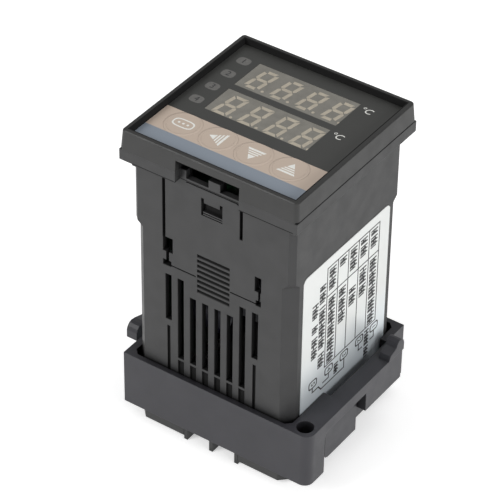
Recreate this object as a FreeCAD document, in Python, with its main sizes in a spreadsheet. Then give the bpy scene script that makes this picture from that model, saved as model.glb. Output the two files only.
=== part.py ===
"""1/16 DIN temperature controller with its case, draw-out chassis and mounting bracket.

Frame: +Z is the normal of the front panel and Z = 0 is the plane the rear rests on.
X and Y are centred on the case: -Y is the latch side, +X and -X carry the labels.
"""
import FreeCAD
import Part
import Sketcher
import os
import re

doc = FreeCAD.newDocument("TemperatureController")
sheet = doc.addObject("Spreadsheet::Sheet", "Sizes")

SIZES = [
    ("overall_depth", 85.0, "rear rest plane to the front of the bezel"),
    ("flange_side", 48.0, "square flange of the case, the 48 mm panel size"),
    ("flange_height", 2.8, "thickness of the flange that lands on the panel"),
    ("bezel_height", 5.2, "front bezel above the flange"),
    ("bezel_draft", 0.35, "how far each bezel side leans in at the front"),
    ("bezel_rim", 1.3, "width of the raised rim round the panel"),
    ("bezel_round", 1.0, "corner radius of the bezel"),
    ("panel_recess", 1.7, "rim down to the face of the overlay"),
    ("overlay_thick", 0.3, "printed overlay sheet"),
    ("panel_plate", 1.5, "bezel plate behind the overlay"),
    ("skirt_wall", 0.8, "wall of the bezel's skirt"),
    ("body_side", 44.0, "case behind the panel, for a 45 mm cut-out"),
    ("shell_wall", 1.5, "wall of the case"),
    ("neck_length", 17.0, "case behind the flange with the small corner cut"),
    ("neck_cut", 1.3, "corner cut of the neck"),
    ("trunk_cut", 2.8, "corner cut of the trunk"),
    ("foot_height", 1.0, "rear edge of the case above the barrier ends"),
    ("fit_gap", 0.2, "gap round pieces that sit inside the case"),
    ("slot_pitch", 3.45, "cooling slots, centre to centre"),
    ("slot_width", 1.75, "cooling slot"),
    ("slot_low", 24.4, "lower end of the long slots"),
    ("slot_long_top", 48.2, "upper end of the outer slots"),
    ("slot_short_top", 44.2, "upper end of the four middle slots"),
    ("slot_end_low", 34.8, "lower end of the outermost slots"),
    ("groove_depth", 0.5, "grooves that run on below the slots"),
    ("grip_pitch", 1.45, "teeth of the grip patch"),
    ("grip_depth", 0.55, "depth of the grip grooves"),
    ("grip_width", 9.0, "grip patch"),
    ("grip_low", 46.5, "lowest groove of the grip patch"),
    ("grip_count", 8, "grooves in the grip patch"),
    ("step_rise", 1.3, "sloped step between trunk and neck corners"),
    ("collar_height", 2.2, "full corners of the neck under the flange"),
    ("slot_step", 0.6, "wall left between a slot and the groove below it"),
    ("slit_width", 0.85, "slits beside the latch tongue"),
    ("tongue_left", -13.66, "left slit along X"),
    ("tongue_right", 7.55, "right slit along X"),
    ("tongue_start", -7.0, "left end of the gap over the tongue"),
    ("tongue_gap", 0.3, "gap over the tongue"),
    ("tongue_round", 0.95, "corner of the tongue at the right slit"),
    ("slit_left_top", 1.9, "left slit, upper end below the flange"),
    ("slit_left_low", 18.4, "left slit, lower end below the flange"),
    ("slit_right_low", 9.8, "right slit, lower end below the flange"),
    ("bar_height", 0.8, "bar across the mouth above the tongue"),
    ("hook_left", -0.9, "left side of the latch hook"),
    ("hook_right", 2.2, "right side of the latch hook"),
    ("window_width", 5.8, "latch window"),
    ("window_top", 2.8, "latch window, upper edge below the flange"),
    ("window_low", 7.6, "latch window, lower edge below the flange"),
    ("window_deep", 1.0, "depth of the latch window's lower part"),
    ("tab_drop", 1.2, "tab that hangs into the latch window"),
    ("tab_inset", 0.75, "gap beside the tab"),
    ("tooth_height", 0.3, "catch teeth in the latch window"),
    ("hole_out", 13.6, "root holes, outer side along X"),
    ("hole_width", 2.8, "left root hole along X"),
    ("hole_narrow", 1.8, "right root hole along X"),
    ("hole_top", 18.2, "root holes, upper edge below the flange"),
    ("hole_low", 22.4, "root holes, lower edge below the flange"),
    ("root_top", 24.8, "lower root holes, upper edge below the flange"),
    ("root_low", 26.4, "lower root holes, lower edge below the flange"),
    ("root_line", 0.35, "parting groove at the tongue's root"),
    ("mouth_width", 17.2, "screwdriver notch over the latch tongue"),
    ("mouth_top", 82.9, "upper edge of the screwdriver notch"),
    ("display_width", 27.8, "digit modules and their windows"),
    ("display_middle", -1.0, "middle of the digit modules along X"),
    ("upper_height", 10.4, "upper window"),
    ("upper_middle", 12.6, "middle of the upper window along Y"),
    ("lower_height", 9.7, "lower window"),
    ("lower_middle", 0.6, "middle of the lower window along Y"),
    ("key_radius", 3.8, "key face"),
    ("key_first", -15.0, "first key along X"),
    ("key_pitch", 9.6, "keys, centre to centre"),
    ("key_row", -12.1, "keys along Y"),
    ("key_proud", 0.1, "key face above the overlay"),
    ("key_gap", 0.2, "running gap round a key"),
    ("key_rest", 0.3, "key stem above the switch plunger"),
    ("stem_side", 2.6, "square stem of a key"),
    ("switch_side", 6.0, "key switch"),
    ("switch_height", 4.2, "key switch with its plunger"),
    ("plunger_rise", 0.7, "plunger above the switch"),
    ("plunger_radius", 1.7, "switch plunger"),
    ("lamp_column", -18.4, "indicator lamps along X"),
    ("lamp_top", 16.3, "uppermost lamp along Y"),
    ("lamp_pitch", 6.2, "lamps, centre to centre"),
    ("lamp_radius", 0.85, "indicator lamp"),
    ("board_thick", 1.6, "circuit boards"),
    ("board_side", 38.8, "display board"),
    ("board_top", 75.1, "front face of the display board"),
    ("card_place", 15.0, "middle of the two long boards along X"),
    ("card_width", 37.4, "long boards"),
    ("card_low", 14.0, "rear end of the long boards"),
    ("base_low", 8.0, "rear face of the terminal base floor"),
    ("base_thick", 3.0, "floor of the terminal base"),
    ("rib_thick", 1.0, "long barriers of the terminal base"),
    ("rib_place", 7.3, "outer long barriers along X"),
    ("fin_thick", 0.8, "barriers between neighbouring terminals"),
    ("terminal_pitch", 5.7, "terminals, centre to centre"),
    ("terminal_place", 13.2, "terminal columns along X"),
    ("clamp_width", 4.6, "terminal clamp plate"),
    ("clamp_length", 8.0, "terminal clamp plate along X"),
    ("clamp_thick", 1.0, "terminal clamp plate"),
    ("strap_thick", 0.8, "contact strap under the clamp"),
    ("screw_radius", 1.45, "terminal screw shank"),
    ("screw_head", 2.3, "terminal screw head radius"),
    ("screw_head_height", 1.8, "terminal screw head"),
    ("screw_length", 6.0, "terminal screw under the head"),
    ("drive_width", 0.6, "cross recess of a screw"),
    ("drive_depth", 0.9, "cross recess of a screw, depth"),
    ("screw_gap", 0.1, "gap round the screw shank"),
    ("label_thick", 0.12, "rating label"),
    ("label_width", 35.4, "rating label along Y"),
    ("label_top", 59.4, "upper edge of the labels"),
    ("label_low", 4.0, "lower edge of the labels"),
    ("label_round", 1.6, "corner radius of the labels"),
    ("ring_gap", 0.35, "gap between bracket and case"),
    ("ring_low", 4.9, "lower edge of the bracket"),
    ("ring_top", 20.0, "rim of the bracket"),
    ("ring_half_x", 24.2, "outer half width of the bracket ring along X"),
    ("ring_half_y", 23.7, "outer half width of the bracket ring along Y"),
    ("arm_half_x", 28.7, "outer face of the bracket arms"),
    ("skirt_half_x", 26.5, "face of the set-back skirts"),
    ("boss_width", 6.8, "screw boss of the bracket along Y"),
    ("boss_inset", 3.15, "clamp screw hole from the boss faces"),
    ("boss_hole", 2.1, "clamp screw hole radius"),
    ("boss_round", 2.4, "outer corner of the screw boss"),
    ("strip_height", 3.0, "strip along the top of the arms"),
    ("wing_height", 8.5, "deep part of the arms"),
    ("wing_start", 0.45, "deep part of the arms, from the middle"),
    ("skirt_start", -13.3, "near end of the set-back skirt along Y"),
    ("skirt_end", -0.1, "far end of the set-back skirt along Y"),
    ("skirt_round", 1.4, "rounded toe of the skirt"),
    ("arm_fillet", 1.5, "inner corner between boss and strip"),
    ("wing_end", 15.7, "end of the arms"),
    ("relief_start", -8.0, "start of the relief between rim and case along Y"),
    ("relief_end", 16.0, "end of the relief along Y"),
    ("relief_deep", 8.0, "relief below the rim"),
    ("lug_height", 3.8, "pull lug on the arm"),
    ("lug_length", 6.4, "pull lug along Y"),
    ("lug_width", 3.0, "pull lug along X"),
    ("lug_over", 0.7, "pull lug past the end of the arm"),
    ("lug_round", 1.5, "rounded ridge of the lug"),
    ("lug_foot", 0.5, "foot of the lug along Y"),
    ("finger_gap", 0.6, "gap behind the free finger"),
    ("finger_drop", 2.2, "free finger below the rim"),
]
for row, (alias, number, note) in enumerate(SIZES, 1):
    sheet.set(f"A{row}", str(number))
    sheet.setAlias(f"A{row}", alias)
    sheet.set(f"B{row}", note)
doc.recompute()


NAMES = re.compile(r"\b(" + "|".join(alias for alias, number, note in SIZES) + r")\b")


def rule(text):
    """Turn a rule written with bare size names into one that names the sheet."""
    return NAMES.sub(r"Sizes.\1", text)


def size(text):
    """Value of a rule, in millimetres."""
    return float(sheet.evalExpression(rule(text)))


def bind(item, **rules):
    """Tie properties of a document object to rules."""
    for prop, text in rules.items():
        item.setExpression(prop, rule(text))


def place(item, x, y, z):
    """Tie an object's position to rules."""
    for axis, text in zip("xyz", (x, y, z)):
        item.setExpression(f".Placement.Base.{axis}", rule(text))


# Levels along Z, worked out from the sheet.
FLANGE_TOP = "(overall_depth - bezel_height)"
FLANGE_LOW = "(overall_depth - bezel_height - flange_height)"
NECK_LOW = "(overall_depth - bezel_height - flange_height - neck_length)"
OVERLAY_TOP = "(overall_depth - panel_recess)"
PLATE_TOP = "(overall_depth - panel_recess - overlay_thick)"
PLATE_LOW = "(overall_depth - panel_recess - overlay_thick - panel_plate)"
FACE = "(body_side / 2)"
CAVITY = "(body_side / 2 - shell_wall)"
INSERT = "(body_side / 2 - shell_wall - fit_gap)"
CLAMP_LOW = "(base_low - strap_thick - clamp_thick)"
TERMINALS = 7
KEYS = ("key_set", "key_shift", "key_down", "key_up")
LAMPS = 4


# ---------------------------------------------------------------- building blocks

def box(name, low, size_rules):
    """Part::Box from its low corner and its three lengths."""
    item = doc.addObject("Part::Box", name)
    bind(item, Length=size_rules[0], Width=size_rules[1], Height=size_rules[2])
    place(item, *low)
    return item


def upright(name, x, y, z, radius, height):
    """Part::Cylinder standing along Z."""
    item = doc.addObject("Part::Cylinder", name)
    bind(item, Radius=radius, Height=height)
    place(item, x, y, z)
    return item


def cut(name, base, tool):
    item = doc.addObject("Part::Cut", name)
    item.Base = base
    item.Tool = tool
    return item


def fuse(name, pieces):
    item = doc.addObject("Part::MultiFuse", name)
    item.Shapes = pieces
    return item


def group(name, pieces):
    """Several like pieces that share one node, each a solid of its own."""
    item = doc.addObject("Part::Compound", name)
    item.Links = pieces
    return item


def body(name):
    item = doc.addObject("PartDesign::Body", name)
    return item


def outline(owner, name, plane, level, corners):
    """Closed straight-sided sketch on one of the body's own planes, each corner tied to rules."""
    item = owner.newObject("Sketcher::SketchObject", name)
    base = next(part for part in owner.Origin.OriginFeatures if part.Role == plane)
    item.AttachmentSupport = [(base, "")]
    item.MapMode = "FlatFace"
    item.setExpression(".AttachmentOffset.Base.z", rule(level))
    points = [FreeCAD.Vector(size(u), size(v), 0) for u, v in corners]
    count = len(points)
    for index, point in enumerate(points):
        item.addGeometry(Part.LineSegment(point, points[(index + 1) % count]))
    for index in range(count):
        item.addConstraint(Sketcher.Constraint("Coincident", index, 2, (index + 1) % count, 1))
    for index, (u, v) in enumerate(corners):
        for kind, text, value in (("DistanceX", u, points[index].x), ("DistanceY", v, points[index].y)):
            number = item.addConstraint(Sketcher.Constraint(kind, -1, 1, index, 1, value))
            item.setExpression(f"Constraints[{number}]", rule(text))
    return item


def rounded_square(owner, name, level, half, radius):
    """Sketch of a square with round corners on the body's XY plane."""
    item = outline(owner, name, "XY_Plane", level, [])
    near = f"({half} - {radius})"
    corners = cut_square(half, radius)
    centres = [(near, f"-{near}"), (near, near), (f"-{near}", near), (f"-{near}", f"-{near}")]
    points = [FreeCAD.Vector(size(u), size(v), 0) for u, v in corners]
    for index, (u, v) in enumerate(centres):
        start, end = points[2 * index], points[2 * index + 1]
        centre = FreeCAD.Vector(size(u), size(v), 0)
        way = start + end - centre * 2
        middle = centre + way.normalize() * size(radius)
        item.addGeometry(Part.Arc(start, middle, end))
        item.addGeometry(Part.LineSegment(end, points[(2 * index + 2) % 8]))
    for index in range(8):
        item.addConstraint(Sketcher.Constraint("Coincident", index, 2, (index + 1) % 8, 1))
    for index in range(4):
        for end in (1, 2):
            u, v = corners[2 * index + end - 1]
            for kind, text in (("DistanceX", u), ("DistanceY", v)):
                number = item.addConstraint(Sketcher.Constraint(kind, -1, 1, 2 * index, end, size(text)))
                item.setExpression(f"Constraints[{number}]", rule(text))
        u = centres[index][0]
        number = item.addConstraint(Sketcher.Constraint("DistanceX", -1, 1, 2 * index, 3, size(u)))
        item.setExpression(f"Constraints[{number}]", rule(u))
    return item


def rectangle(left, low, right, top):
    return [(left, low), (right, low), (right, top), (left, top)]


def cut_square(half, corner):
    """Square with its four corners cut off, anticlockwise."""
    near = f"({half} - {corner})"
    return [(near, f"-{half}"), (half, f"-{near}"), (half, near), (near, half),
            (f"-{near}", half), (f"-{half}", near), (f"-{half}", f"-{near}"), (f"-{near}", f"-{half}")]


def pad(owner, name, sketch, length, both_ways=False, backwards=False):
    item = owner.newObject("PartDesign::Pad", name)
    item.Profile = sketch
    item.Midplane = both_ways
    item.Reversed = backwards
    bind(item, Length=length)
    return item


def pocket(owner, name, sketch, length, both_ways=False, backwards=False):
    """Cut that must take something away."""
    doc.recompute()
    before = owner.Tip.Shape.Volume
    item = owner.newObject("PartDesign::Pocket", name)
    item.Profile = sketch
    item.Midplane = both_ways
    item.Reversed = backwards
    bind(item, Length=length)
    doc.recompute()
    if not item.Shape.Volume < before - 1e-6:
        raise RuntimeError(f"{name} removes nothing")
    return item


def repeat(owner, name, features, axis, length, count):
    """Linear pattern along a body axis; length is the distance from first to last."""
    item = owner.newObject("PartDesign::LinearPattern", name)
    item.Originals = features
    direction = next(part for part in owner.Origin.OriginFeatures if part.Role == axis)
    item.Direction = (direction, [""])
    bind(item, Length=length)
    item.Occurrences = count
    owner.Tip = item
    return item


def long_edges(shape, direction, test):
    """Names of the straight edges along a direction whose middle passes the test."""
    names = []
    for number, edge in enumerate(shape.Edges, 1):
        if edge.Curve.TypeId != "Part::GeomLine":
            continue
        way = edge.Vertexes[-1].Point - edge.Vertexes[0].Point
        way.normalize()
        if abs(way.dot(direction)) > 0.99 and test(edge.CenterOfMass):
            names.append(f"Edge{number}")
    return names


def face_window(owner, name, left, low, right, top, depth="shell_wall + 0.5"):
    """Rectangular cut through the latch wall, seen from -Y with X to the right."""
    sketch = outline(owner, name + "_outline", "XZ_Plane", "body_side / 2 + 1",
                     rectangle(left, low, right, top))
    return pocket(owner, name, sketch, f"{depth} + 1")


# ---------------------------------------------------------------- case

def make_case():
    """Moulded case: flange, neck, trunk, cavity, cooling slots and the latch tongue."""
    case = body("case_shell")
    trunk = outline(case, "trunk_outline", "XY_Plane", "foot_height", cut_square(FACE, "trunk_cut"))
    pad(case, "trunk", trunk, f"{NECK_LOW} - step_rise - foot_height")
    neck = outline(case, "neck_outline", "XY_Plane", NECK_LOW, cut_square(FACE, "neck_cut"))
    pad(case, "neck", neck, "neck_length - collar_height")
    step = case.newObject("PartDesign::AdditiveLoft", "step")
    step.Profile = outline(case, "step_low", "XY_Plane", f"{NECK_LOW} - step_rise",
                           cut_square(FACE, "trunk_cut"))
    step.Sections = [outline(case, "step_top", "XY_Plane", NECK_LOW, cut_square(FACE, "neck_cut"))]
    step.Ruled = True
    doc.recompute()
    collar = outline(case, "collar_outline", "XY_Plane", f"{FLANGE_LOW} - collar_height",
                     rectangle(f"-{FACE}", f"-{FACE}", FACE, FACE))
    pad(case, "collar", collar, "collar_height")
    half = "(flange_side / 2)"
    flange = outline(case, "flange_outline", "XY_Plane", FLANGE_LOW,
                     rectangle(f"-{half}", f"-{half}", half, half))
    pad(case, "flange", flange, "flange_height")
    inner_cut = "(trunk_cut - shell_wall * 0.586)"
    cavity = outline(case, "cavity_outline", "XY_Plane", FLANGE_TOP, cut_square(CAVITY, inner_cut))
    pocket(case, "cavity", cavity, "overall_depth")

    # Cooling slots, the same on the latch wall and on the wall opposite.
    for index, (low, top) in enumerate((("slot_low", "slot_short_top"), ("slot_low", "slot_short_top"),
                                        ("slot_low", "slot_long_top"), ("slot_end_low", "slot_long_top"))):
        for side in (-1, 1):
            middle = f"({side} * slot_pitch * {index + 0.5})"
            name = f"slot_{'low' if side < 0 else 'high'}_{index}"
            sketch = outline(case, name + "_outline", "XZ_Plane", "body_side / 2 + 1",
                             rectangle(f"{middle} - slot_width / 2", low, f"{middle} + slot_width / 2", top))
            pocket(case, name, sketch, "body_side + 2")

    # Grooves that run on below each slot and end behind the bracket.
    for index in range(4):
        width = "slot_width" if index < 3 else "(slot_width / 2)"
        top = "(slot_low - slot_step)" if index < 3 else "(slot_end_low - slot_step * 3)"
        for side in (-1, 1):
            middle = f"({side} * slot_pitch * {index + 0.5})"
            name = f"groove_{'low' if side < 0 else 'high'}_{index}"
            sketch = outline(case, name + "_outline", "XZ_Plane", f"{FACE} + 1",
                             rectangle(f"{middle} - {width} / 2", "ring_low + 1",
                                       f"{middle} + {width} / 2", top))
            pocket(case, name, sketch, "groove_depth + 1")

    # Rear edge, cut back between the outer barriers of the terminal base on both sides.
    notch = "(rib_place + rib_thick / 2 + fit_gap / 2)"
    rear = outline(case, "rear_notch_outline", "XZ_Plane", f"{FACE} + 1",
                   rectangle(f"-{notch}", "foot_height - 1", notch, "ring_low + 0.6"))
    pocket(case, "rear_notch", rear, "body_side + 2")

    # Latch tongue: the left slit, and the gap over it that turns down into the right slit.
    top, low = f"({FLANGE_LOW} - 0.1)", f"({FLANGE_LOW} - 0.1 - tongue_gap)"
    face_window(case, "slit_left", "tongue_left", f"{FLANGE_LOW} - slit_left_low",
                "tongue_left + slit_width", f"{FLANGE_LOW} - slit_left_top")
    turn = outline(case, "tongue_gap_outline", "XZ_Plane", "body_side / 2 + 1",
                   [("tongue_start", low), ("tongue_right - tongue_round", low),
                    ("tongue_right - tongue_round * 0.3", f"{low} - tongue_round * 0.3"),
                    ("tongue_right", f"{low} - tongue_round"),
                    ("tongue_right", f"{FLANGE_LOW} - slit_right_low"),
                    ("tongue_right + slit_width", f"{FLANGE_LOW} - slit_right_low"),
                    ("tongue_right + slit_width", top), ("tongue_start", top)])
    pocket(case, "tongue_gap_cut", turn, "shell_wall * 2 + 1")

    # Latch window: open beside its tab, and closed below it by a floor with two catch teeth.
    left, right = "(-window_width / 2)", "(window_width / 2)"
    tab_low = f"({FLANGE_LOW} - window_top - tab_drop)"
    foot = f"({FLANGE_LOW} - window_low)"
    face_window(case, "window_left", left, tab_low, f"{left} + tab_inset", f"{FLANGE_LOW} - window_top")
    face_window(case, "window_right", f"{right} - tab_inset", tab_low, right, f"{FLANGE_LOW} - window_top")
    for name, start, end in (("upper", "tooth_height * 4", tab_low), ("middle", "tooth_height * 2", "3"),
                             ("lower", "0", "1")):
        ceiling = end if name == "upper" else f"{foot} + tooth_height * {end}"
        face_window(case, f"window_{name}", left, f"{foot} + {start}", right, ceiling, "window_deep")
    face_window(case, "window_side", left, foot, f"{left} + tab_inset * 0.7", tab_low)

    # Moulding holes and the parting groove at the tongue's root.
    face_window(case, "left_hole", "-hole_out", f"{FLANGE_LOW} - hole_low", "-hole_out + hole_width",
                f"{FLANGE_LOW} - hole_top")
    face_window(case, "left_neck", "-hole_out + 0.9", f"{FLANGE_LOW} - root_top - 0.1",
                "-hole_out + 0.9 + slit_width", f"{FLANGE_LOW} - hole_low + 0.1")
    face_window(case, "left_low_hole", "-hole_out", f"{FLANGE_LOW} - root_low", "-hole_out + hole_width - 0.4",
                f"{FLANGE_LOW} - root_top")
    face_window(case, "right_hole", "hole_out - hole_narrow", f"{FLANGE_LOW} - hole_low", "hole_out",
                f"{FLANGE_LOW} - hole_top")
    face_window(case, "right_neck", "hole_out - 0.8", f"{FLANGE_LOW} - root_top - 0.1", "hole_out - 0.2",
                f"{FLANGE_LOW} - hole_low + 0.1")
    face_window(case, "right_low_hole", "hole_out - hole_narrow * 0.8", f"{FLANGE_LOW} - root_low",
                "hole_out", f"{FLANGE_LOW} - root_top")
    for name, start, end in (("left", "-hole_out + hole_width - 0.5", "-grip_width / 2 + 0.1"),
                             ("right", "grip_width / 2 + 0.6", "hole_out - hole_narrow * 0.8 + 0.1")):
        face_window(case, f"root_line_{name}", start, f"{FLANGE_LOW} - root_low + 0.3", end,
                    f"{FLANGE_LOW} - root_low + 0.3 + root_line", "root_line + 0.05")

    # Mouth over the latch: the flange is open in front of the tongue, and the wall behind it
    # is cut down to a bar with the latch hook on it.
    mouth = outline(case, "mouth_outline", "XZ_Plane", "flange_side / 2 + 1",
                    rectangle("-mouth_width / 2", f"{FLANGE_LOW} - 0.05", "mouth_width / 2",
                              f"{FLANGE_TOP} + 1"))
    pocket(case, "mouth", mouth, f"flange_side / 2 + 1 - {FACE}")
    for name, start, end in (("left", "tongue_start", "hook_left"), ("right", "hook_right", "mouth_width / 2")):
        face = outline(case, f"mouth_{name}_outline", "XZ_Plane", "flange_side / 2 + 1",
                       rectangle(start, f"{FLANGE_LOW} + bar_height - 0.1", end, f"{FLANGE_TOP} + 1"))
        pocket(case, f"mouth_{name}", face, f"flange_side / 2 + 1.2 - {CAVITY}")

    # Grip patch: one V groove, repeated up the tongue.
    groove = outline(case, "grip_outline", "YZ_Plane", "0.5",
                     [(f"-{FACE} - 0.1", "grip_low"), (f"-{FACE} + grip_depth", "grip_low + grip_pitch * 0.4"),
                      (f"-{FACE} - 0.1", "grip_low + grip_pitch * 0.85")])
    first = pocket(case, "grip_groove", groove, "grip_width", both_ways=True)
    repeat(case, "grip", [first], "Z_Axis", "grip_pitch * (grip_count - 1)", round(size("grip_count")))
    return case


# ---------------------------------------------------------------- terminals

def make_terminal_base():
    """Rear insulator: floor, three long barriers and the fins between terminals."""
    base = body("terminal_base")
    inner_cut = "(trunk_cut - shell_wall * 0.586 + 0.1)"
    floor = outline(base, "floor_outline", "XY_Plane", "base_low", cut_square(INSERT, inner_cut))
    pad(base, "floor", floor, "base_thick")
    for index in (-1, 0, 1):
        middle = f"({index} * rib_place)"
        for part, reach, height in (("barrier", INSERT, "base_low"), ("barrier_end", FACE, "ring_low")):
            sketch = outline(base, f"{part}_{index + 1}_outline", "XY_Plane", "0 * overall_depth",
                             rectangle(f"{middle} - rib_thick / 2", f"-{reach}",
                                       f"{middle} + rib_thick / 2", reach))
            pad(base, f"{part}_{index + 1}", sketch, height)
    for index in range(TERMINALS - 1):
        middle = f"(terminal_pitch * {index - (TERMINALS - 2) / 2})"
        for side in (-1, 1):
            near = f"({side} * rib_place)"
            far = f"({side} * {INSERT})"
            left, right = (far, near) if side < 0 else (near, far)
            sketch = outline(base, f"fin_{'low' if side < 0 else 'high'}_{index}_outline", "XY_Plane",
                             "foot_height + 0.5",
                             rectangle(left, f"{middle} - fin_thick / 2", right, f"{middle} + fin_thick / 2"))
            pad(base, f"fin_{'low' if side < 0 else 'high'}_{index}", sketch,
                "base_low - foot_height - 0.5")
    for side in (-1, 1):
        for index in range(TERMINALS):
            tag = f"{'low' if side < 0 else 'high'}_{index}"
            middle = f"(terminal_pitch * {index - (TERMINALS - 1) / 2})"
            nut = base.newObject("PartDesign::SubtractiveBox", f"nut_pocket_{tag}")
            bind(nut, Length="2 * (screw_radius + screw_gap)", Width="2 * (screw_radius + screw_gap)",
                 Height="base_thick + 2")
            place(nut, f"{side} * terminal_place - screw_radius - screw_gap",
                  f"{middle} - screw_radius - screw_gap", "base_low - 1")
            blade = f"({side} * (card_place + board_thick / 2 + key_rest + strap_thick / 2))"
            slot = base.newObject("PartDesign::SubtractiveBox", f"blade_slot_{tag}")
            bind(slot, Length="strap_thick + 0.2", Width="clamp_width / 2 + 0.2", Height="base_thick + 2")
            place(slot, f"{blade} - strap_thick / 2 - 0.1", f"{middle} - clamp_width / 4 - 0.1",
                  "base_low - 1")
    return base


def terminal_places():
    """Side, name tag and the two position rules of each terminal."""
    for side in (-1, 1):
        for index in range(TERMINALS):
            tag = f"{'low' if side < 0 else 'high'}_{index}"
            yield side, tag, f"{side} * terminal_place", f"terminal_pitch * {index - (TERMINALS - 1) / 2}"


def screw_fork(name, side, x, y, thick):
    """Open-ended slot that lets a plate slip round a screw from the middle of the case."""
    start = f"{x} - clamp_length / 2 - 1" if side > 0 else f"{x} - screw_radius - screw_gap"
    return box(name, (start, f"{y} - screw_radius - screw_gap", f"{CLAMP_LOW} - 1"),
               ("clamp_length / 2 + 1 + screw_radius + screw_gap", "2 * (screw_radius + screw_gap)",
                f"{thick} + strap_thick + 2"))


def make_terminal_screws():
    """Screws with a cross recess, heads to the rear."""
    screws = []
    for side, tag, x, y in terminal_places():
        shank = upright(f"shank_{tag}", x, y, CLAMP_LOW, "screw_radius", "screw_length")
        head = upright(f"head_{tag}", x, y, f"{CLAMP_LOW} - screw_head_height", "screw_head",
                       "screw_head_height")
        blank = fuse(f"screw_blank_{tag}", [shank, head])
        bars = []
        for long_x in (True, False):
            along = ("screw_head * 1.1", "drive_width") if long_x else ("drive_width", "screw_head * 1.1")
            bars.append(box(f"recess_{tag}_{'a' if long_x else 'b'}",
                            (f"{x} - {along[0]} / 2", f"{y} - {along[1]} / 2",
                             f"{CLAMP_LOW} - screw_head_height - 0.1"), (*along, "drive_depth + 0.1")))
        screws.append(cut(f"screw_{tag}", blank, fuse(f"recess_{tag}", bars)))
    return group("terminal_screws", screws)


def make_terminal_clamps():
    """Square clamp plates, one under each screw head."""
    plates = []
    for side, tag, x, y in terminal_places():
        plate = box(f"plate_{tag}", (f"{x} - clamp_length / 2", f"{y} - clamp_width / 2", CLAMP_LOW),
                    ("clamp_length", "clamp_width", "clamp_thick"))
        plates.append(cut(f"clamp_{tag}", plate, screw_fork(f"plate_hole_{tag}", side, x, y, "clamp_thick")))
    return group("terminal_clamps", plates)


def make_contacts():
    """Contact straps: a pad under the clamp and a blade that reaches the board edge."""
    straps = []
    for side, tag, x, y in terminal_places():
        pad_box = box(f"strap_pad_{tag}", (f"{x} - clamp_length / 2", f"{y} - clamp_width / 2",
                                           "base_low - strap_thick"),
                      ("clamp_length", "clamp_width", "strap_thick"))
        blade = f"({side} * (card_place + board_thick / 2 + key_rest + strap_thick / 2))"
        strip = box(f"strap_blade_{tag}", (f"{blade} - strap_thick / 2", f"{y} - clamp_width / 4",
                                           "base_low - strap_thick"),
                    ("strap_thick", "clamp_width / 2", "card_low - base_low + 8"))
        fork = screw_fork(f"strap_hole_{tag}", side, x, y, "clamp_thick")
        straps.append(cut(f"strap_{tag}", fuse(f"strap_blank_{tag}", [pad_box, strip]), fork))
    return group("terminal_contacts", straps)


# ---------------------------------------------------------------- chassis

def make_bezel():
    """Front bezel: drafted frame, panel plate with its openings, and the skirt that enters the case."""
    bezel = body("front_bezel")
    wide = "(flange_side / 2)"
    slim = "(flange_side / 2 - bezel_draft)"
    lip = "(bezel_rim * 0.2)"
    low = rounded_square(bezel, "bezel_rear", FLANGE_TOP, wide, "bezel_round")
    edge = rounded_square(bezel, "bezel_edge", f"overall_depth - {lip}", slim, "bezel_round")
    front = rounded_square(bezel, "bezel_front", "overall_depth", f"({slim} - {lip})",
                           f"(bezel_round - {lip})")
    block = bezel.newObject("PartDesign::AdditiveLoft", "frame_block")
    block.Profile = low
    block.Sections = [edge, front]
    block.Ruled = True
    doc.recompute()

    inner = "(flange_side / 2 - bezel_draft - bezel_rim)"
    recess = outline(bezel, "recess_outline", "XY_Plane", "overall_depth",
                     rectangle(f"-{inner}", f"-{inner}", inner, inner))
    pocket(bezel, "recess", recess, "panel_recess + overlay_thick")
    hollow = f"({INSERT} - skirt_wall)"
    skirt = outline(bezel, "skirt_outline", "XY_Plane", "board_top", cut_square(INSERT, "(trunk_cut - 0.7)"))
    pad(bezel, "skirt", skirt, f"{FLANGE_TOP} - board_top + 0.2")
    back = outline(bezel, "hollow_outline", "XY_Plane", "board_top", cut_square(hollow, "trunk_cut"))
    pocket(bezel, "hollow", back, f"{PLATE_LOW} - board_top", backwards=True)

    for tag in ("upper", "lower"):
        sketch = outline(bezel, f"{tag}_window_outline", "XY_Plane", PLATE_TOP,
                         rectangle("display_middle - display_width / 2", f"{tag}_middle - {tag}_height / 2",
                                   "display_middle + display_width / 2", f"{tag}_middle + {tag}_height / 2"))
        pocket(bezel, f"{tag}_window", sketch, "panel_plate + 0.5")
    for index in range(len(KEYS)):
        bore = bezel.newObject("PartDesign::SubtractiveCylinder", f"key_bore_{index}")
        bind(bore, Radius="key_radius + key_gap", Height="panel_plate + 2")
        place(bore, f"key_first + {index} * key_pitch", "key_row", f"{PLATE_LOW} - 1")
    for index in range(LAMPS):
        bore = bezel.newObject("PartDesign::SubtractiveCylinder", f"lamp_bore_{index}")
        bind(bore, Radius="lamp_radius + 0.15", Height="panel_plate + 2")
        place(bore, "lamp_column", f"lamp_top - {index} * lamp_pitch", f"{PLATE_LOW} - 1")

    for part, top, depth in (("rim", "mouth_top", "bezel_draft + bezel_rim"),
                             ("skirt", PLATE_LOW, f"flange_side / 2 - {INSERT}")):
        mouth = outline(bezel, f"{part}_mouth_outline", "XZ_Plane", "flange_side / 2 + 1",
                        rectangle("-mouth_width / 2", f"{FLANGE_TOP} - 1", "mouth_width / 2", top))
        pocket(bezel, f"{part}_mouth", mouth, f"{depth} + 1")
    for name, start, end in (("left", "tongue_start", "hook_left"), ("right", "hook_right", "tongue_right")):
        gap = outline(bezel, f"catch_{name}_outline", "XZ_Plane", "flange_side / 2 + 1",
                      rectangle(start, "board_top + skirt_wall", end, f"{PLATE_LOW} - skirt_wall / 2"))
        pocket(bezel, f"catch_{name}", gap, f"flange_side / 2 + 1.2 - {INSERT} + skirt_wall")
    return bezel


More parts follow.
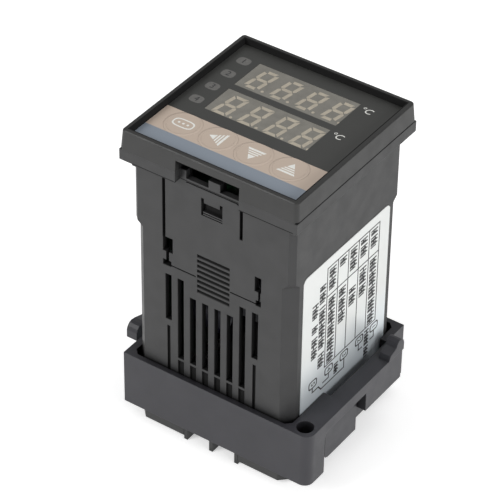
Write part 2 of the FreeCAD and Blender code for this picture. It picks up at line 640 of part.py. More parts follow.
def make_overlay():
    """Printed overlay sheet with openings for the two windows and the four keys."""
    half = "(flange_side / 2 - bezel_draft - bezel_rim - 0.1)"
    sheet_box = box("overlay_blank", (f"-{half}", f"-{half}", PLATE_TOP),
                    (f"2 * {half}", f"2 * {half}", "overlay_thick"))
    holes = []
    for tag in ("upper", "lower"):
        holes.append(box(f"overlay_{tag}", ("display_middle - display_width / 2",
                                            f"{tag}_middle - {tag}_height / 2", f"{PLATE_TOP} - 1"),
                         ("display_width", f"{tag}_height", "overlay_thick + 2")))
    for index in range(len(KEYS)):
        holes.append(upright(f"overlay_key_{index}", f"key_first + {index} * key_pitch", "key_row",
                             f"{PLATE_TOP} - 1", "key_radius + key_gap * 0.6", "overlay_thick + 2"))
    return cut("front_overlay", sheet_box, fuse("overlay_holes", holes))


def make_window(tag):
    """Tinted window set into the overlay."""
    return box(f"{tag}_window_pane", ("display_middle - display_width / 2 + 0.05",
                                      f"{tag}_middle - {tag}_height / 2 + 0.05", PLATE_TOP),
               ("display_width - 0.1", f"{tag}_height - 0.1", "overlay_thick"))


def make_display(tag):
    """Four-digit module that stands on the display board behind its window."""
    return box(f"{tag}_display", ("display_middle - display_width / 2 + 0.15",
                                  f"{tag}_middle - {tag}_height / 2 + 0.15", "board_top"),
               ("display_width - 0.3", f"{tag}_height - 0.3", f"{PLATE_TOP} - board_top - 0.3"))


def make_key(name, index):
    """Key: round face in the overlay and a stem that meets the switch."""
    x = f"key_first + {index} * key_pitch"
    face = upright(f"{name}_face", x, "key_row", f"{PLATE_LOW} + 0.4", "key_radius",
                   f"{OVERLAY_TOP} + key_proud - {PLATE_LOW} - 0.4")
    stem = box(f"{name}_stem", (f"{x} - stem_side / 2", "key_row - stem_side / 2",
                                "board_top + switch_height + key_rest"),
               ("stem_side", "stem_side", f"{PLATE_LOW} + 0.4 - board_top - switch_height - key_rest"))
    return fuse(name, [face, stem])


def make_switches():
    """Tact switches under the keys: square can and round plunger."""
    switches = []
    for index in range(len(KEYS)):
        x = f"key_first + {index} * key_pitch"
        can = box(f"switch_can_{index}", (f"{x} - switch_side / 2", "key_row - switch_side / 2", "board_top"),
                  ("switch_side", "switch_side", "switch_height - plunger_rise"))
        plunger = upright(f"switch_plunger_{index}", x, "key_row",
                          "board_top + switch_height - plunger_rise", "plunger_radius", "plunger_rise")
        switches.append(fuse(f"switch_{index}", [can, plunger]))
    return group("tact_switches", switches)


def make_lamps():
    """Indicator lamps on the display board, ending in the bezel plate."""
    return group("indicator_lamps",
                 [upright(f"lamp_{index}", "lamp_column", f"lamp_top - {index} * lamp_pitch", "board_top",
                          "lamp_radius", f"{PLATE_TOP} - board_top") for index in range(LAMPS)])


def make_boards():
    """Display board behind the bezel and the two long boards that plug into the contacts."""
    box("display_board", ("-board_side / 2", "-board_side / 2", "board_top - board_thick"),
        ("board_side", "board_side", "board_thick"))
    for name, side in (("control_board", 1), ("power_board", -1)):
        box(name, (f"{side} * card_place - board_thick / 2", "-card_width / 2", "card_low"),
            ("board_thick", "card_width", "board_top - board_thick - card_low"))


def make_board_parts():
    """Main components: relay and chip on the control board, transformer and capacitors on the power board."""
    inner = "(card_place - board_thick / 2)"
    box("relay", (f"{inner} - 10", "-16", "40"), ("10", "12.5", "20"))
    box("controller_chip", ("card_place + board_thick / 2", "-5", "50"), ("1.4", "10", "10"))
    core = box("core_blank", (f"-{inner}", "-11", "42"), ("13", "22", "19"))
    windows = [box(f"core_window_{side}", (f"-{inner} - 1", f"{side} * 5.75 - 2.25", "45.5"),
                   ("15", "4.5", "12")) for side in (-1, 1)]
    cut("transformer_core", core, fuse("core_windows", windows))
    coil = box("coil_blank", (f"-{inner} + 0.2", "-7.8", "45.7"), ("12.6", "15.6", "11.6"))
    limb = box("coil_limb", (f"-{inner} - 1", "-3.6", "44"), ("15", "7.2", "15"))
    cut("transformer_coil", coil, limb)
    cans = []
    for index, place_y in enumerate(("-9", "1")):
        can = doc.addObject("Part::Cylinder", f"capacitor_{index}")
        bind(can, Radius="4", Height="13")
        can.Placement.Rotation = FreeCAD.Rotation(FreeCAD.Vector(0, 1, 0), 90)
        place(can, f"-{inner}", place_y, "30")
        cans.append(can)
    group("capacitors", cans)


# ---------------------------------------------------------------- outside pieces

def make_label(name, side):
    """Thin label with rounded corners on one side of the case."""
    item = body(name)
    half = "(label_width / 2)"
    sketch = outline(item, f"{name}_outline", "YZ_Plane", f"{side} * {FACE}",
                     rectangle(f"-{half}", "label_low", half, "label_top"))
    sheet_pad = pad(item, f"{name}_sheet", sketch, "label_thick", backwards=side < 0)
    doc.recompute()
    corners = item.newObject("PartDesign::Fillet", f"{name}_corners")
    corners.Base = (sheet_pad, long_edges(sheet_pad.Shape, FreeCAD.Vector(1, 0, 0), lambda point: True))
    bind(corners, Radius="label_round")
    return item


def make_bracket():
    """Mounting bracket: ring round the case with two arms, screw bosses and pull lugs."""
    ring = body("mounting_bracket")
    blank = outline(ring, "ring_outline", "XY_Plane", "ring_low",
                    rectangle("-ring_half_x", "-ring_half_y", "ring_half_x", "ring_half_y"))
    pad(ring, "ring_block", blank, "ring_top - ring_low")
    for side, tag in ((1, "right"), (-1, "left")):
        def along(text):
            return f"({side} * ({text}))"

        # Arm, drawn from the side: screw boss, thin strip, and the deep wing at its far end.
        end = "wing_end" if side > 0 else "wing_end - lug_length - finger_gap"
        strip, wing = "(ring_top - strip_height)", "(ring_top - wing_height)"
        boss_end = "(boss_width - ring_half_y)"
        arm = outline(ring, f"arm_{tag}_outline", "YZ_Plane", along("ring_half_x - 1"),
                      [(along("-ring_half_y"), "ring_low"), (along(boss_end), "ring_low"),
                       (along(boss_end), f"{strip} - arm_fillet"),
                       (along(f"{boss_end} + arm_fillet * 0.3"), f"{strip} - arm_fillet * 0.3"),
                       (along(f"{boss_end} + arm_fillet"), strip), (along("wing_start"), strip),
                       (along("wing_start"), wing), (along(end), wing), (along(end), "ring_top"),
                       (along("-ring_half_y"), "ring_top")])
        pad(ring, f"arm_{tag}", arm, "arm_half_x - ring_half_x + 1", backwards=side < 0)
        # Set-back skirt under the strip, with a rounded toe.
        skirt = outline(ring, f"skirt_{tag}_outline", "YZ_Plane", along("ring_half_x - 1"),
                        [(along("skirt_start + skirt_round"), "ring_low"), (along("skirt_end"), "ring_low"),
                         (along("skirt_end"), f"{strip} + 0.1"), (along("skirt_start"), f"{strip} + 0.1"),
                         (along("skirt_start"), "ring_low + skirt_round"),
                         (along("skirt_start + skirt_round * 0.3"), "ring_low + skirt_round * 0.3")])
        pad(ring, f"skirt_{tag}", skirt, "skirt_half_x - ring_half_x + 1", backwards=side < 0)
    opening = outline(ring, "opening_outline", "XY_Plane", "ring_top + 1",
                      cut_square(f"({FACE} + ring_gap)", "neck_cut"))
    pocket(ring, "opening", opening, "ring_top + 2")
    for side, tag in ((1, "right"), (-1, "left")):
        def along(text):
            return f"({side} * ({text}))"

        # The rim stands clear of the case beside the arm.
        left, right = (along("body_side / 2"), along("ring_half_x"))[::side]
        low, high = (along("relief_start"), along("relief_end"))[::side]
        relief = outline(ring, f"relief_{tag}_outline", "XY_Plane", "ring_top",
                         rectangle(left, low, right, high))
        pocket(ring, f"relief_{tag}", relief, "relief_deep")
        bore = ring.newObject("PartDesign::SubtractiveCylinder", f"boss_bore_{tag}")
        bind(bore, Radius="boss_hole", Height="ring_top - ring_low + 2")
        place(bore, along("arm_half_x - boss_inset"), along("boss_inset - ring_half_y"), "ring_low - 1")
        # Pull lug: foot, slope, rounded ridge and blunt end. On the left it ends a free finger.
        end = "(wing_end + lug_over)"
        base, tall, root = "ring_top", "lug_height", f"({end} - lug_length)"
        if side < 0:
            base, tall, root = "(ring_top - finger_drop)", "lug_height", f"({end} - lug_length - 2)"
        ridge = f"({base} + {tall})"
        heel = [(along(root), f"{base} - 0.2"), (along(end), f"{base} - 0.2")]
        nose = [(along(end), f"{ridge} - lug_round * 1.2"),
                (along(f"{end} - lug_round * 0.25"), f"{ridge} - lug_round * 0.55"),
                (along(f"{end} - lug_round * 0.75"), f"{ridge} - lug_round * 0.12"),
                (along(f"{end} - lug_round * 1.3"), ridge)]
        if side > 0:
            back = [(along(f"{end} - lug_round * 1.9"), f"{ridge} - lug_round * 0.35"),
                    (along(f"{end} - lug_round * 2.3"), f"{ridge} - lug_round * 1.1"),
                    (along(f"{root} + lug_foot"), f"{base} + lug_height * 0.36"),
                    (along(root), f"{base} + 0.1")]
        else:
            back = [(along(f"{end} - lug_round * 2.2"), f"{ridge} - lug_round * 0.15"),
                    (along(root), "ring_top - 0.3")]
        lug = outline(ring, f"lug_{tag}_outline", "YZ_Plane", along("arm_half_x + 0.1 - lug_width / 2"),
                      heel + nose + back)
        pad(ring, f"lug_{tag}", lug, "lug_width", both_ways=True)
    doc.recompute()
    shape = ring.Tip.Shape
    across, along_y, top = size("arm_half_x"), size("ring_half_y"), size("ring_top")
    upright_edges = long_edges(
        shape, FreeCAD.Vector(0, 0, 1),
        lambda point: (point.x * point.y < 0 and abs(abs(point.x) - across) < 0.01
                       and abs(abs(point.y) - along_y) < 0.01))
    rounds = ring.newObject("PartDesign::Fillet", "boss_corners")
    rounds.Base = (ring.Group[-2], upright_edges)
    bind(rounds, Radius="boss_round")
    return ring


make_case()
make_terminal_base()
make_terminal_screws()
make_terminal_clamps()
make_contacts()
make_bezel()
make_overlay()
for window in ("upper", "lower"):
    make_window(window)
    make_display(window)
for number, key in enumerate(KEYS):
    make_key(key, number)
make_switches()
make_lamps()
make_boards()
make_board_parts()
make_label("side_label", 1)
make_label("far_label", -1)
make_bracket()
doc.recompute()


NODES = [
    "case_shell", "terminal_base", "terminal_screws", "terminal_clamps", "terminal_contacts",
    "front_bezel", "front_overlay", "upper_window_pane", "lower_window_pane",
    "upper_display", "lower_display", *KEYS, "tact_switches", "indicator_lamps",
    "display_board", "control_board", "power_board", "relay", "controller_chip", "transformer_core",
    "transformer_coil", "capacitors", "side_label", "far_label", "mounting_bracket",
]
failed = [item.Name for item in doc.Objects if "Invalid" in item.State or "Error" in item.State]
if failed:
    raise RuntimeError(f"failed objects: {failed}")
os.makedirs("parts", exist_ok=True)
for name in NODES:
    item = doc.getObject(name)
    shape = item.Shape
    if shape.isNull() or not shape.isValid() or not shape.Solids:
        raise RuntimeError(f"{name} has no valid solid")
    shape.exportStep(os.path.join("parts", f"{item.Label}.step"))
    box_size = shape.BoundBox
    print(f"{item.Label:20s} solids {len(shape.Solids):2d}  volume {shape.Volume:9.1f}  "
          f"z {box_size.ZMin:6.2f} to {box_size.ZMax:6.2f}")
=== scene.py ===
"""Panel temperature controller: case with its mounting bracket, draw-out front with displays and keys."""
import math
import bmesh
import bpy
from mathutils import Matrix, Vector


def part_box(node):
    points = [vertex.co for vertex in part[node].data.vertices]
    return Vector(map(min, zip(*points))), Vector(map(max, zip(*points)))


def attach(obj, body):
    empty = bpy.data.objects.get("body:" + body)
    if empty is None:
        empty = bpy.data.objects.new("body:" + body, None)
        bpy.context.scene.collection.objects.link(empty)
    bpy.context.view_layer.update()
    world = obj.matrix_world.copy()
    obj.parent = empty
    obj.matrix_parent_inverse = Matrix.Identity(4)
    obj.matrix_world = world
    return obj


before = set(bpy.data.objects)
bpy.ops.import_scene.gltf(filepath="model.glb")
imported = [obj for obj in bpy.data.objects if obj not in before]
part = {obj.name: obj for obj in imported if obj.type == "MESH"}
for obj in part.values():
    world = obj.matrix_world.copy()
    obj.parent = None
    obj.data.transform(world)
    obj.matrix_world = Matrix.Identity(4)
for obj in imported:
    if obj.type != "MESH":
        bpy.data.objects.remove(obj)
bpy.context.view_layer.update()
MM = 0.001


# Case shell and terminal block. Injection-moulded flame-proof ABS in charcoal, taken from a
# spark-eroded mould that leaves a fine even grain, with slightly softened outer edges.
CASE_GREY = (0.0365, 0.0365, 0.0370)
CASE_ROUGHNESS = 0.48
CASE_EDGE = 0.18 * MM
PLASTIC_SHINE = 0.4
BLACK = (0.0, 0.0, 0.0)
# Occlusion levels between which the painted shade in hollows goes from full to none.
ENCLOSED, OPEN = 0.3, 0.93
BODY_HALF = 22.0 * MM
# Painted shade by depth in what is cut into the -Y and +Y walls.
DEPTH_SHADE_EDGE, DEPTH_SHADE_REACH, DEPTH_SHADE_WALL, DEPTH_SHADE_WIDE, DEPTH_SHADE_LOW = 0.05 * MM, 0.22 * MM, 1.45 * MM, 38 * MM, 18 * MM
FLANGE_LOW = 77.0 * MM
# Width of the painted shadow line along the flange's lower edge.
FLANGE_SHADOW_LINE = 0.26 * MM


def new_finish(name, colour, roughness):
    """Material with a Principled shader; colour in linear values."""
    material = bpy.data.materials.new(name)
    material.use_nodes = True
    tree = material.node_tree
    shader = tree.nodes["Principled BSDF"]
    shader.inputs["Base Color"].default_value = (*colour, 1)
    shader.inputs["Roughness"].default_value = roughness
    return material, tree, shader


def add_noise(tree, scale, detail=2.0, stretch=(1, 1, 1)):
    """Noise texture in the part's own metres; returns its value socket."""
    place = tree.nodes.new("ShaderNodeTexCoord")
    mapping = tree.nodes.new("ShaderNodeMapping")
    mapping.inputs["Scale"].default_value = stretch
    noise = tree.nodes.new("ShaderNodeTexNoise")
    noise.inputs["Scale"].default_value = scale
    noise.inputs["Detail"].default_value = detail
    tree.links.new(place.outputs["Object"], mapping.inputs["Vector"])
    tree.links.new(mapping.outputs["Vector"], noise.inputs["Vector"])
    return noise.outputs["Fac"]


def rescale(tree, value, start, end, low, high):
    """Maps a value from one range onto another and holds it at the ends."""
    fit = tree.nodes.new("ShaderNodeMapRange")
    fit.inputs["From Min"].default_value = start
    fit.inputs["From Max"].default_value = end
    fit.inputs["To Min"].default_value = low
    fit.inputs["To Max"].default_value = high
    tree.links.new(value, fit.inputs["Value"])
    return fit.outputs["Result"]


def spread(tree, value, low, high):
    """Maps a noise value, which mostly lies between 0.3 and 0.7, onto a range."""
    return rescale(tree, value, 0.3, 0.7, low, high)


def tone(tree, shader, colour, value, low=0.9, high=1.1):
    """Base colour that wanders a little darker and lighter with a noise value."""
    ramp = tree.nodes.new("ShaderNodeMix")
    ramp.data_type = "RGBA"
    ramp.inputs["A"].default_value = (*[c * low for c in colour], 1)
    ramp.inputs["B"].default_value = (*[c * high for c in colour], 1)
    tree.links.new(spread(tree, value, 0, 1), ramp.inputs["Factor"])
    tree.links.new(ramp.outputs["Result"], shader.inputs["Base Color"])
    return ramp.outputs["Result"]


def grain(tree, shader, value, depth, edge=0.0):
    """Surface grain, on top of a softened edge where the piece has one."""
    bump = tree.nodes.new("ShaderNodeBump")
    bump.inputs["Strength"].default_value = 1.0
    bump.inputs["Distance"].default_value = depth
    tree.links.new(value, bump.inputs["Height"])
    tree.links.new(bump.outputs["Normal"], shader.inputs["Normal"])
    if edge:
        bevel = tree.nodes.new("ShaderNodeBevel")
        bevel.samples = 4
        bevel.inputs["Radius"].default_value = edge
        tree.links.new(bevel.outputs["Normal"], bump.inputs["Normal"])


def moulded_plastic(name, colour, roughness, edge, depth=0.006 * MM):
    material, tree, shader = new_finish(name, colour, roughness)
    shader.inputs["Specular IOR Level"].default_value = PLASTIC_SHINE
    tone(tree, shader, colour, add_noise(tree, 120, 4), 0.93, 1.07)
    grain(tree, shader, add_noise(tree, 5200, 3), depth, edge)
    tree.links.new(spread(tree, add_noise(tree, 260, 3), roughness - 0.05, roughness + 0.06),
                   shader.inputs["Roughness"])
    return material


def finish_part(material, *names):
    for name in names:
        part[name].material_slots[0].material = material


def part_axes(tree):
    """The part's own X, Y and Z in metres."""
    place = tree.nodes.new("ShaderNodeTexCoord")
    split = tree.nodes.new("ShaderNodeSeparateXYZ")
    tree.links.new(place.outputs["Object"], split.inputs["Vector"])
    return split.outputs


def work_out(tree, operation, *values):
    """One step of arithmetic on numbers and sockets."""
    step = tree.nodes.new("ShaderNodeMath")
    step.operation = operation
    for socket, value in zip(step.inputs, values):
        if isinstance(value, bpy.types.NodeSocket):
            tree.links.new(value, socket)
        else:
            socket.default_value = value
    return step.outputs["Value"]


def between(tree, value, start, end):
    """1 where a value lies between two limits, and 0 elsewhere."""
    return work_out(tree, "COMPARE", value, (start + end) / 2, (end - start) / 2)


def lay_over(tree, shader, socket, share, over):
    """Covers what feeds a socket of the shader with a colour or a value, by a share from 0 to 1."""
    mix = tree.nodes.new("ShaderNodeMix")
    if isinstance(over, tuple):
        mix.data_type = "RGBA"
        over = (*over, 1)
    mix.inputs["B"].default_value = over
    tree.links.new(share, mix.inputs["Factor"])
    tree.links.new(shader.inputs[socket].links[0].from_socket, mix.inputs["A"])
    tree.links.new(mix.outputs["Result"], shader.inputs[socket])


def paint_hollow_shade(material, reach, floor):
    """Painted shade: colour that falls towards black in grooves, slots and corners narrower than the reach.
    """
    tree = material.node_tree
    hollow = tree.nodes.new("ShaderNodeAmbientOcclusion")
    hollow.samples = 6
    hollow.inputs["Distance"].default_value = reach
    shade = rescale(tree, hollow.outputs["AO"], ENCLOSED, OPEN, 1 - floor, 0)
    lay_over(tree, tree.nodes["Principled BSDF"], "Base Color", shade, BLACK)


def paint_depth_shade(material, face, reach, wall, wide, low, high):
    """Painted shade in what is cut into the flat walls at -Y and +Y, darker with depth, on a rough surface,
    in one area.
    """
    tree = material.node_tree
    shader = tree.nodes["Principled BSDF"]
    axes = part_axes(tree)
    side = work_out(tree, "ABSOLUTE", axes["Y"])
    amount = rescale(tree, side, face - DEPTH_SHADE_EDGE, face - reach, 0, 0.9)
    for value, start, end in ((axes["X"], -wide / 2, wide / 2), (side, face - wall, face),
                              (axes["Z"], low, high)):
        amount = work_out(tree, "MULTIPLY", between(tree, value, start, end), amount)
    lay_over(tree, shader, "Base Color", amount, BLACK)
    lay_over(tree, shader, "Roughness", amount, 1.0)


def joint_and_shadow_line(material, level, width, share, near, far):
    """Fine dark line at one height, between two distances from the middle along X. On the bezel it is the
    dark joint where bezel and case meet; along the case's flange it is painted shadow."""
    tree = material.node_tree
    shader = tree.nodes["Principled BSDF"]
    axes = part_axes(tree)
    side = work_out(tree, "ABSOLUTE", axes["X"])
    line = work_out(tree, "MULTIPLY", between(tree, axes["Z"], level - width / 2, level + width / 2),
                    between(tree, side, near, far))
    lay_over(tree, shader, "Base Color", line, tuple(c * share for c in CASE_GREY))
    lay_over(tree, shader, "Roughness", line, 1.0)


case_plastic = moulded_plastic("charcoal moulded case", CASE_GREY, CASE_ROUGHNESS, CASE_EDGE)
# Painted shade in the case's slots, grooves and inner corners.
paint_hollow_shade(case_plastic, 2.2 * MM, 0.08)
# Painted shade, darker with depth, in the slots and grip grooves of the -Y and +Y walls, which are also
# rough there.
paint_depth_shade(case_plastic, BODY_HALF, DEPTH_SHADE_REACH, DEPTH_SHADE_WALL, DEPTH_SHADE_WIDE, DEPTH_SHADE_LOW, FLANGE_LOW)
# Painted shadow line along the flange's lower edge.
joint_and_shadow_line(case_plastic, FLANGE_LOW + 0.1 * MM, FLANGE_SHADOW_LINE, 0.3, 0, BODY_HALF + 1 * MM)
finish_part(case_plastic, "case_shell", "terminal_base")


# Terminals. Zinc-plated steel screws and clamp plates over tinned brass straps; the plating
# is slightly cloudy and the straps keep the fine lines of the rolled strip.
ZINC = (0.62, 0.63, 0.62)
TINNED = (0.74, 0.70, 0.58)


def plated_metal(name, colour, roughness, line_scale):
    material, tree, shader = new_finish(name, colour, roughness)
    shader.inputs["Metallic"].default_value = 1.0
    tone(tree, shader, colour, add_noise(tree, 700, 4), 0.82, 1.08)
    lines = add_noise(tree, line_scale, 2, (1, 0.05, 1))
    grain(tree, shader, lines, 0.002 * MM, 0.08 * MM)
    tree.links.new(spread(tree, add_noise(tree, 1500, 2), roughness - 0.08, roughness + 0.1),
                   shader.inputs["Roughness"])
    return material


finish_part(plated_metal("zinc plate", ZINC, 0.32, 4000), "terminal_screws", "terminal_clamps")
finish_part(plated_metal("tinned strip", TINNED, 0.28, 9000), "terminal_contacts")


# Circuit boards. Glass-epoxy laminate under green solder mask; the mask is glossy and a
# little uneven, and the copper beneath shows as paler tracks.
MASK_GREEN = (0.004, 0.020, 0.009)
TRACK_GREEN = (0.008, 0.036, 0.015)


def plain_colour(tree, shader, colour):
    """Feeds the base colour from one colour, which others can then be laid over."""
    flat = tree.nodes.new("ShaderNodeRGB")
    flat.outputs["Color"].default_value = (*colour, 1)
    tree.links.new(flat.outputs["Color"], shader.inputs["Base Color"])


def solder_mask(name, colour, track):
    material, tree, shader = new_finish(name, colour, 0.28)
    place = tree.nodes.new("ShaderNodeTexCoord")
    cells = tree.nodes.new("ShaderNodeTexVoronoi")
    cells.distance = "CHEBYCHEV"
    cells.feature = "DISTANCE_TO_EDGE"
    cells.inputs["Scale"].default_value = 420
    tree.links.new(place.outputs["Object"], cells.inputs["Vector"])
    plain_colour(tree, shader, colour)
    lay_over(tree, shader, "Base Color", work_out(tree, "LESS_THAN", cells.outputs["Distance"], 0.09), track)
    grain(tree, shader, add_noise(tree, 900, 3), 0.01 * MM)
    return material


finish_part(solder_mask("green solder mask", MASK_GREEN, TRACK_GREEN),
            "display_board", "control_board", "power_board")


# Board components. Dark relay case, black epoxy packages, varnished laminated core, yellow
# polyester tape round the winding and dark sleeved capacitors, all soldered to the boards.
RELAY_DARK = (0.018, 0.020, 0.026)
EPOXY_BLACK = (0.018, 0.018, 0.019)
SLEEVE_DARK = (0.012, 0.012, 0.024)
LAMINATION_GREY = (0.055, 0.055, 0.060)
TAPE_YELLOW = (0.55, 0.36, 0.05)
LAMINATION, TAPE_TURN = 0.5 * MM, 0.8 * MM


def component_skin(name, colour, roughness, scale, depth):
    material, tree, shader = new_finish(name, colour, roughness)
    tone(tree, shader, colour, add_noise(tree, scale, 3), 0.85, 1.12)
    grain(tree, shader, add_noise(tree, scale * 6, 2), depth, 0.1 * MM)
    return material


def stacked_skin(name, colour, roughness, pitch, stretch):
    """Sheets or turns laid on each other, as in a laminated core or a taped winding."""
    material, tree, shader = new_finish(name, colour, roughness)
    layers = add_noise(tree, 1 / pitch, 0, stretch)
    tone(tree, shader, colour, layers, 0.6, 1.2)
    grain(tree, shader, layers, 0.03 * MM)
    return material


finish_part(component_skin("dark relay case", RELAY_DARK, 0.38, 200, 0.004 * MM), "relay")
finish_part(component_skin("black epoxy", EPOXY_BLACK, 0.42, 600, 0.008 * MM),
            "controller_chip", "tact_switches")
finish_part(component_skin("dark sleeve", SLEEVE_DARK, 0.45, 300, 0.003 * MM), "capacitors")
finish_part(stacked_skin("varnished laminations", LAMINATION_GREY, 0.5, LAMINATION, (0.02, 0.02, 1)),
            "transformer_core")
finish_part(stacked_skin("yellow winding tape", TAPE_YELLOW, 0.45, TAPE_TURN, (0.05, 0.05, 1)),
            "transformer_coil")


# Front bezel. Charcoal ABS in one shot with the panel plate and the rear skirt; its grain is
# finer than the case's. The steep wall round the film is rough, and painted shade makes it nearly black.
BEZEL_GREY = (0.0300, 0.0300, 0.0293)
# Share of the bezel colour left where painted shade darkens the wall round the film.
RECESS_SHADE = 0.12
BEZEL_TALL = 5.2 * MM
FILM_EDGE = 0.35 * MM
JOINT_LINE, JOINT_NEAR, JOINT_FAR = 0.5 * MM, 23.4 * MM, 24.1 * MM
bezel_plastic = moulded_plastic("charcoal moulded bezel", BEZEL_GREY, 0.42, 0.22 * MM, 0.004 * MM)


def paint_recess_shade(material, half):
    """Painted shade: nearly black, unpolished plastic inside a square about the Z axis, with the given half
    side.
    """
    tree = material.node_tree
    shader = tree.nodes["Principled BSDF"]
    axes = part_axes(tree)
    widest = work_out(tree, "MAXIMUM", *(work_out(tree, "ABSOLUTE", axes[axis]) for axis in "XY"))
    inside = work_out(tree, "LESS_THAN", widest, half)
    lay_over(tree, shader, "Base Color", inside, tuple(c * RECESS_SHADE for c in BEZEL_GREY))
    lay_over(tree, shader, "Roughness", inside, 0.95)


# Painted shade in the bezel's mouth, grooves and corners.
paint_hollow_shade(bezel_plastic, 2.0 * MM, 0.1)
joint_and_shadow_line(bezel_plastic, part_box("front_bezel")[1].z - BEZEL_TALL + 0.1 * MM, JOINT_LINE, 0,
             JOINT_NEAR, JOINT_FAR)
# Painted shade on the steep wall round the film.
paint_recess_shade(bezel_plastic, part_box("front_overlay")[1].x + FILM_EDGE)
finish_part(bezel_plastic, "front_bezel")


# Front film. Polycarbonate sheet printed on its back: dark grey field, a warm sand band that
# holds the keys and a slate-blue band along the lower edge. The face has a fine satin texture.
FIELD_GREY = (0.045, 0.0455, 0.043)
SAND = (0.520, 0.425, 0.350)
SLATE = (0.232, 0.266, 0.312)
SAND_TOP, SAND_LOW = -8.05 * MM, -16.45 * MM


def printed_film(name):
    """Satin film whose print colour follows the height up the panel."""
    material, tree, shader = new_finish(name, FIELD_GREY, 0.4)
    height = part_axes(tree)["Y"]
    plain_colour(tree, shader, SLATE)
    for edge, above in ((SAND_LOW, SAND), (SAND_TOP, FIELD_GREY)):
        lay_over(tree, shader, "Base Color", work_out(tree, "GREATER_THAN", height, edge), above)
    grain(tree, shader, add_noise(tree, 7000, 2), 0.003 * MM)
    tree.links.new(spread(tree, add_noise(tree, 300, 3), 0.34, 0.46), shader.inputs["Roughness"])
    return material


film = printed_film("printed front film")
finish_part(film, "front_overlay", "key_set", "key_shift", "key_down", "key_up")
film_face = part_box("front_overlay")[1].z


# Printed marks on the film. Pale screen ink, 0.015 mm thick; each mark lies as its own closed
# shape on the film or on its key, and the film bends up a little round each key.
INK_PALE = (0.80, 0.80, 0.76)
INK_THICK = 0.015 * MM
CAPITAL_SHARE = 0.69
UNIT_TALL, UNIT_X, UNIT_SLANT = 1.9, 15.3, 0.18
UNIT_ROWS = (16.2, 4.2)
MARK_LIFT = 0.1
MARK_SHIFT = 0.4
ARROW_HALF = 2.4
ARROW_BARS = ((2.05, 0.4), (0.08, -0.3), (-0.62, -0.98), (-1.3, -1.9))
SET_WIDE, SET_TALL, SET_LINE, SET_DOT, DOT_PITCH = 5.5, 3.1, 0.35, 0.62, 1.2
BEND_GAP, BEND_WIDE, BEND_WALL, BEND_TURNS, BEND_STEPS = 0.01, 0.75, 0.18, 72, 5
BEND_HANG, BEND_LIFT = 0.2 * MM, 0.002 * MM
ink_pale, ink_tree, ink_shader = new_finish("pale ink", INK_PALE, 0.45)
tone(ink_tree, ink_shader, INK_PALE, add_noise(ink_tree, 1800, 3), 0.93, 1.04)
grain(ink_tree, ink_shader, add_noise(ink_tree, 7000, 2), 0.003 * MM)


def prism(mesh, outline, low, high, hole=()):
    """Adds a closed flat shape, given as points in millimetres, between two levels in metres."""
    rings = []
    for loop in (outline, hole):
        rings.append([[mesh.verts.new((x * MM, y * MM, level)) for x, y in loop] for level in (low, high)])
    count = len(outline)
    if not hole:
        mesh.faces.new(list(reversed(rings[0][0])))
        mesh.faces.new(rings[0][1])
    for number, (bottom, top) in enumerate(rings):
        for index in range(len(bottom)):
            after = (index + 1) % len(bottom)
            side = [bottom[index], bottom[after], top[after], top[index]]
            mesh.faces.new(side if number == 0 else list(reversed(side)))
    if hole:
        for level in (0, 1):
            for index in range(count):
                after = (index + 1) % count
                ring = [rings[0][level][index], rings[0][level][after],
                        rings[1][level][after], rings[1][level][index]]
                mesh.faces.new(ring if level else list(reversed(ring)))


def oval(x, y, width, height, power=2.0, count=40):
    """Rounded outline: power 2 is an ellipse, higher is squarer."""
    points = []
    for index in range(count):
        angle = 2 * math.pi * index / count
        c, s = math.cos(angle), math.sin(angle)
        points.append((x + width / 2 * math.copysign(abs(c) ** (2 / power), c),
                       y + height / 2 * math.copysign(abs(s) ** (2 / power), s)))
    return points


def piece_from(mesh, name, material, body, place=Matrix.Identity(4)):
    """Turns gathered shapes into a piece that rides on a body."""
    bmesh.ops.recalc_face_normals(mesh, faces=mesh.faces)
    data = bpy.data.meshes.new(name)
    mesh.to_mesh(data)
    mesh.free()
    data.transform(place)
    data.materials.append(material)
    thing = bpy.data.objects.new(name, data)
    bpy.context.scene.collection.objects.link(thing)
    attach(thing, body)
    return thing


def write(mesh, text, height, x, y, level, turn=0.0, slant=0.0):
    """Adds plain figures, centred on a point, with capitals of the given height in millimetres."""
    curve = bpy.data.curves.new("figures", "FONT")
    curve.body = text
    curve.size = height * MM / CAPITAL_SHARE
    curve.align_x, curve.align_y = "CENTER", "CENTER"
    curve.extrude = INK_THICK / 2
    curve.shear = slant
    curve.resolution_u = 3
    carrier = bpy.data.objects.new("figures", curve)
    solid = bpy.data.meshes.new_from_object(carrier)
    solid.transform(Matrix.Translation((x * MM, y * MM, level + INK_THICK / 2))
                    @ Matrix.Rotation(turn, 4, "Z"))
    mesh.from_mesh(solid)
    bpy.data.objects.remove(carrier)
    bpy.data.curves.remove(curve)
    bpy.data.meshes.remove(solid)


marks = bmesh.new()
for level in UNIT_ROWS:
    write(marks, "°C", UNIT_TALL, UNIT_X, level, film_face, slant=UNIT_SLANT)
piece_from(marks, "unit_marks", ink_pale, "chassis")

key_low, key_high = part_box("key_set")
key_face, key_side = key_high.z, (key_high.x - key_low.x) / 2 / MM
row = (key_low.y + key_high.y) / 2 / MM
key_x = {name: (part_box(name)[0].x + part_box(name)[1].x) / 2 / MM
         for name in ("key_set", "key_shift", "key_down", "key_up")}
key_y = row + MARK_LIFT


